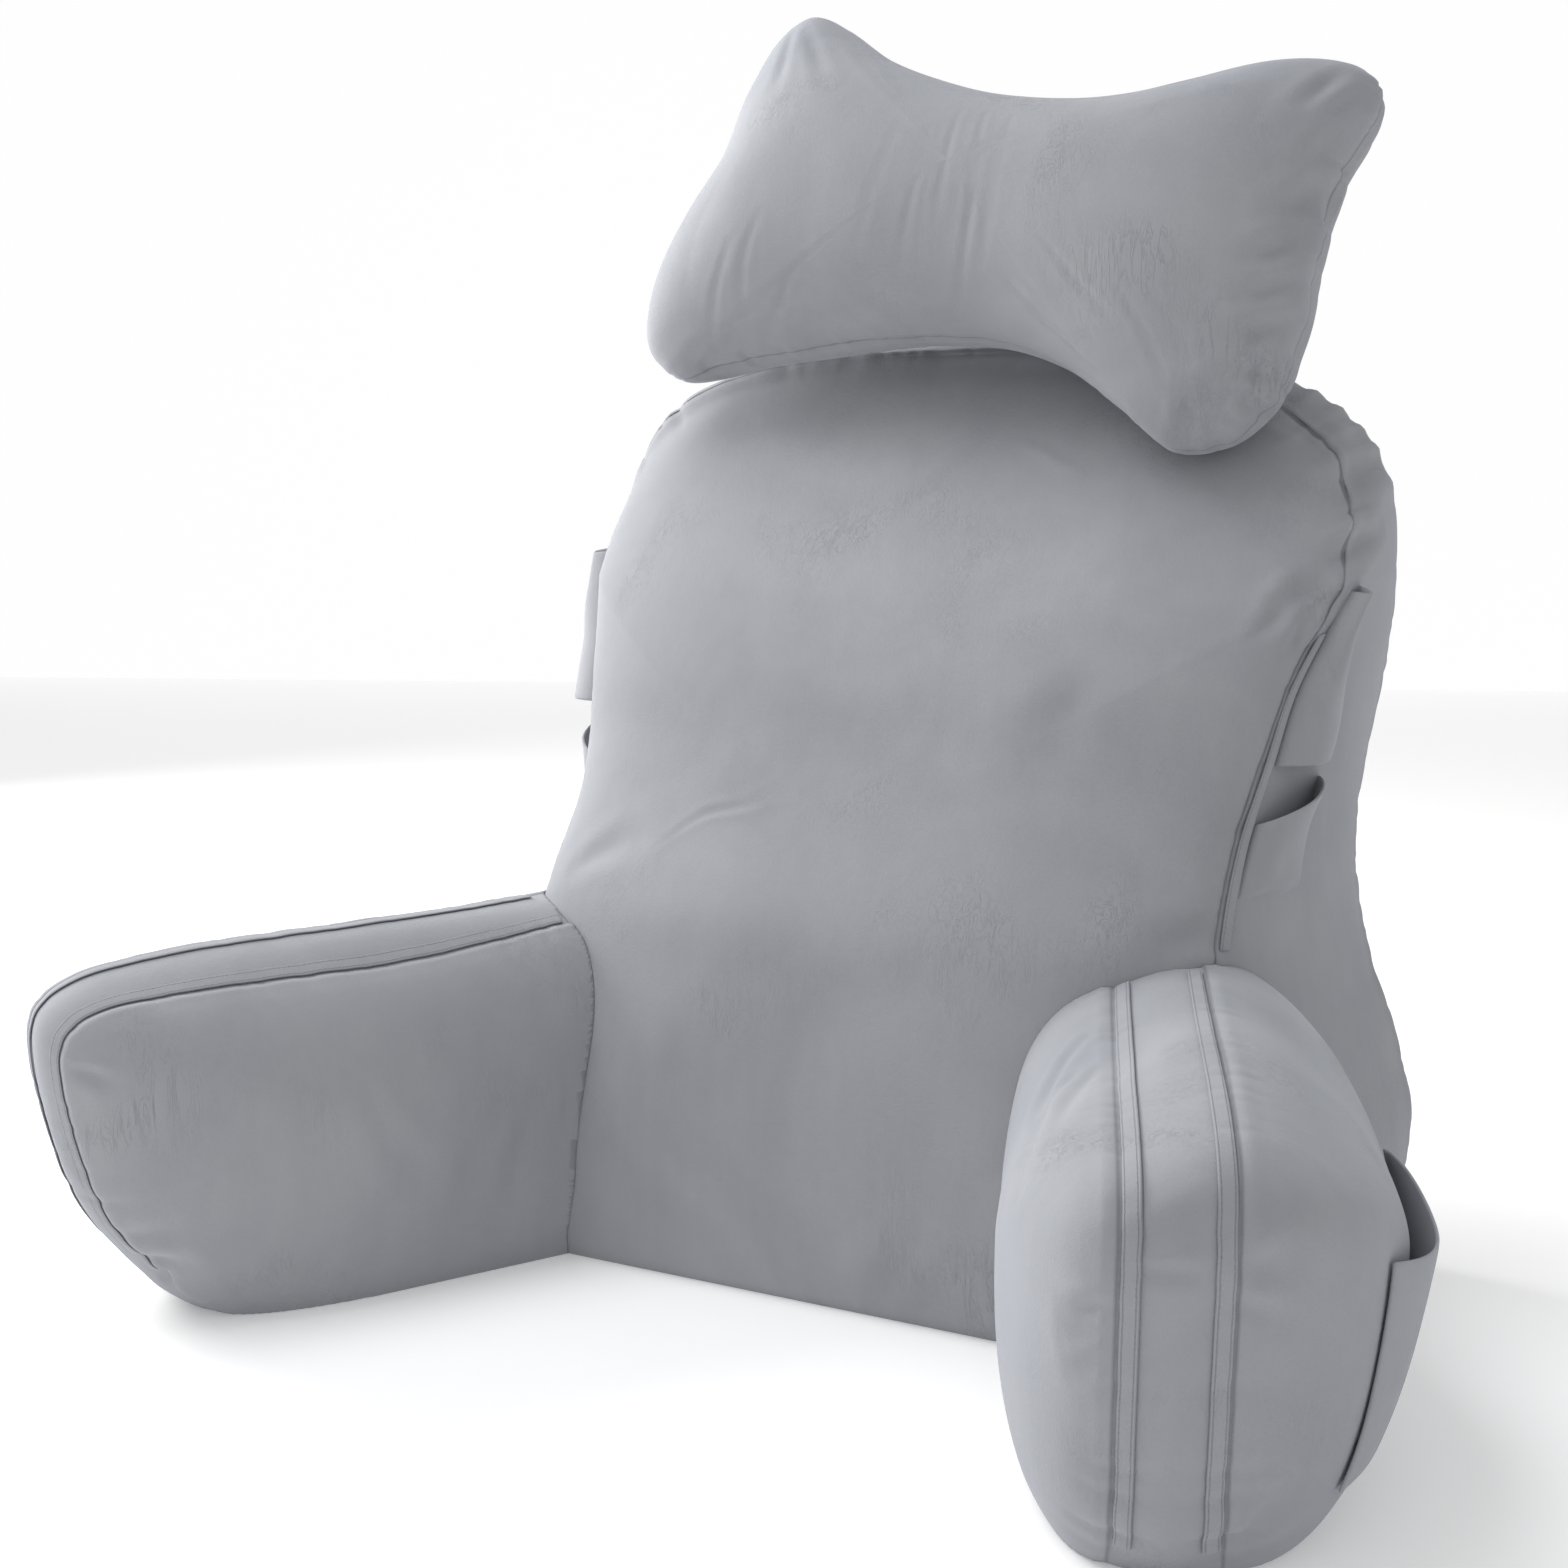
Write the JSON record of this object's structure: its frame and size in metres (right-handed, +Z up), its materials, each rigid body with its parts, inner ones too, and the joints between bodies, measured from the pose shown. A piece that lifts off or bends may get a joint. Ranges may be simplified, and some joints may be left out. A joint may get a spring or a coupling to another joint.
{
  "type": "backrest pillow with arms and a neck pillow",
  "caption": "Stuffed reading backrest with splayed arms, side and arm pockets, and a bone-shaped neck pillow resting on its top.",
  "frame": {"origin": "middle of the bounding box on the surface that the pillow stands on", "axes": "+Z up, the sitter faces -Y, and +X is to the right in a front view"},
  "size_m": [0.8372, 0.6416, 0.8412],
  "materials": {
    "velour": "short soft pile, matt with a faint sheen",
    "seam_tape": "felled strip of the same short pile cloth, topstitched"
  },
  "bodies": {
    "root": {"back_cushion": "velour", "arm_right": "velour", "arm_left": "velour", "neck_pillow": "velour", "arm_tape_inner_right": "seam_tape", "arm_tape_inner_left": "seam_tape", "arm_tape_outer_right": "seam_tape", "arm_tape_outer_left": "seam_tape", "back_tape_right": "seam_tape", "back_tape_left": "seam_tape", "arm_pocket_right": "velour", "arm_pocket_left": "velour", "side_flap_right": "velour", "side_flap_left": "velour", "side_pocket_right": "velour", "side_pocket_left": "velour"}
  },
  "joints": []
}
